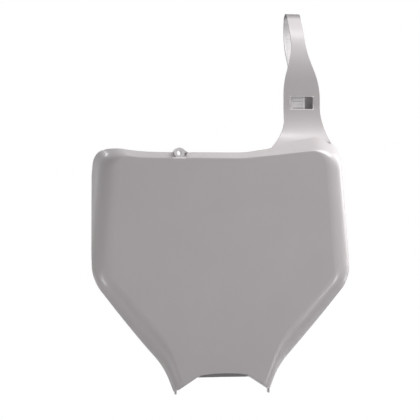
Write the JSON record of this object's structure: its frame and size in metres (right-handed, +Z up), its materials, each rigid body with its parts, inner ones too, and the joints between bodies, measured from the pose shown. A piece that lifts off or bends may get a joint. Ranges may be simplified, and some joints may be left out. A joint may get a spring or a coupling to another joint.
{
  "type": "racing number board",
  "caption": "Flexible plastic front number board for an off-road motorbike: dished face with rolled margins, bottom horns, an eyelet, and a toothed strap that closes round the handlebar.",
  "frame": {"origin": "middle of the flat number face, on its front surface", "axes": "+Z up as the board hangs on the handlebar, -Y out of the number face, +X to the side that carries the strap"},
  "size_m": [0.2506, 0.0906, 0.3751],
  "materials": {
    "number_board": "light grey moulded polypropylene, satin to glossy"
  },
  "bodies": {
    "root": {"number_board": "number_board"}
  },
  "joints": []
}
